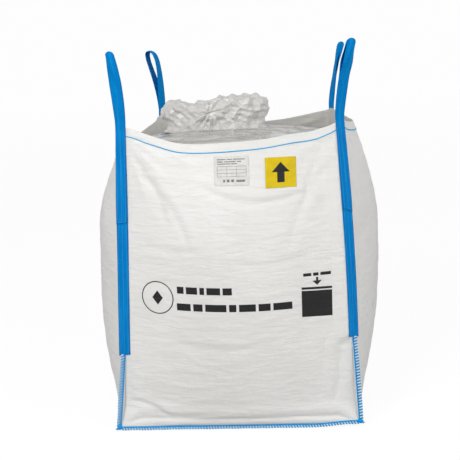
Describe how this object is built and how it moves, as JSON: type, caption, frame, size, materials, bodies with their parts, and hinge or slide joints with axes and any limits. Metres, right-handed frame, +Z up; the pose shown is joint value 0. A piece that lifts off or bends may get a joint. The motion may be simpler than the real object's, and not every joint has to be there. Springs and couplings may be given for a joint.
{
  "type": "bulk bag",
  "caption": "Filled woven polypropylene bulk bag (FIBC) with bowed sides, blue corner lift loops, overedged seams and a gathered film liner at the open top.",
  "frame": {"origin": "on the floor, under the middle of the bag", "axes": "+Z up towards the loops; the front panel, with the labels, faces -Y; +X to the right as seen from the front"},
  "size_m": [1.1237, 1.1385, 1.4063],
  "materials": {
    "woven_fabric": "matte",
    "webbing": "matte",
    "seam_thread": "matte",
    "liner_film": "gloss",
    "label_paper": "satin",
    "yellow_label": "satin"
  },
  "bodies": {
    "bag": {"u_panel": "woven_fabric", "front_panel": "woven_fabric", "back_panel": "woven_fabric", "front_bottom_seam": "seam_thread", "rear_bottom_seam": "seam_thread", "hem_stitching": "seam_thread", "liner_body": "liner_film", "liner_top": "liner_film", "data_label": "label_paper", "grade_label": "yellow_label", "front_left_corner_seam": "seam_thread", "front_left_thread_tail": "seam_thread", "front_left_inner_leg": "webbing", "front_left_outer_leg": "webbing", "front_left_strap_stitching": "seam_thread", "front_right_corner_seam": "seam_thread", "front_right_thread_tail": "seam_thread", "front_right_inner_leg": "webbing", "front_right_outer_leg": "webbing", "front_right_strap_stitching": "seam_thread", "rear_right_corner_seam": "seam_thread", "rear_right_thread_tail": "seam_thread", "rear_right_inner_leg": "webbing", "rear_right_outer_leg": "webbing", "rear_right_strap_stitching": "seam_thread", "rear_left_corner_seam": "seam_thread", "rear_left_thread_tail": "seam_thread", "rear_left_inner_leg": "webbing", "rear_left_outer_leg": "webbing", "rear_left_strap_stitching": "seam_thread"},
    "front_left_loop_body": {"front_left_loop": "webbing"},
    "front_right_loop_body": {"front_right_loop": "webbing"},
    "rear_right_loop_body": {"rear_right_loop": "webbing"},
    "rear_left_loop_body": {"rear_left_loop": "webbing"},
    "neck": {"liner_neck": "liner_film"}
  },
  "joints": [
    {"name": "front_left_loop_fold", "type": "hinge", "parent": "bag", "child": "front_left_loop_body", "pos_m": [-0.38405, -0.42412, 1.13439], "axis": [0.8985, -0.4382, -0.025], "range_deg": [-75, 150]},
    {"name": "front_right_loop_fold", "type": "hinge", "parent": "bag", "child": "front_right_loop_body", "pos_m": [0.39383, -0.42223, 1.13446], "axis": [0.7193, 0.6946, 0.0128], "range_deg": [-75, 150]},
    {"name": "rear_right_loop_fold", "type": "hinge", "parent": "bag", "child": "rear_right_loop_body", "pos_m": [0.41132, 0.42908, 1.13428], "axis": [-0.4067, 0.9135, 0.0029], "range_deg": [-75, 150]},
    {"name": "rear_left_loop_fold", "type": "hinge", "parent": "bag", "child": "rear_left_loop_body", "pos_m": [-0.34478, 0.43038, 1.13477], "axis": [-0.5297, -0.8477, 0.0297], "range_deg": [-75, 150]},
    {"name": "liner_neck_flop", "type": "hinge", "parent": "bag", "child": "neck", "pos_m": [-0.085, 0.04, 1.082], "axis": [1, 0, 0], "range_deg": [-10, 10]}
  ]
}
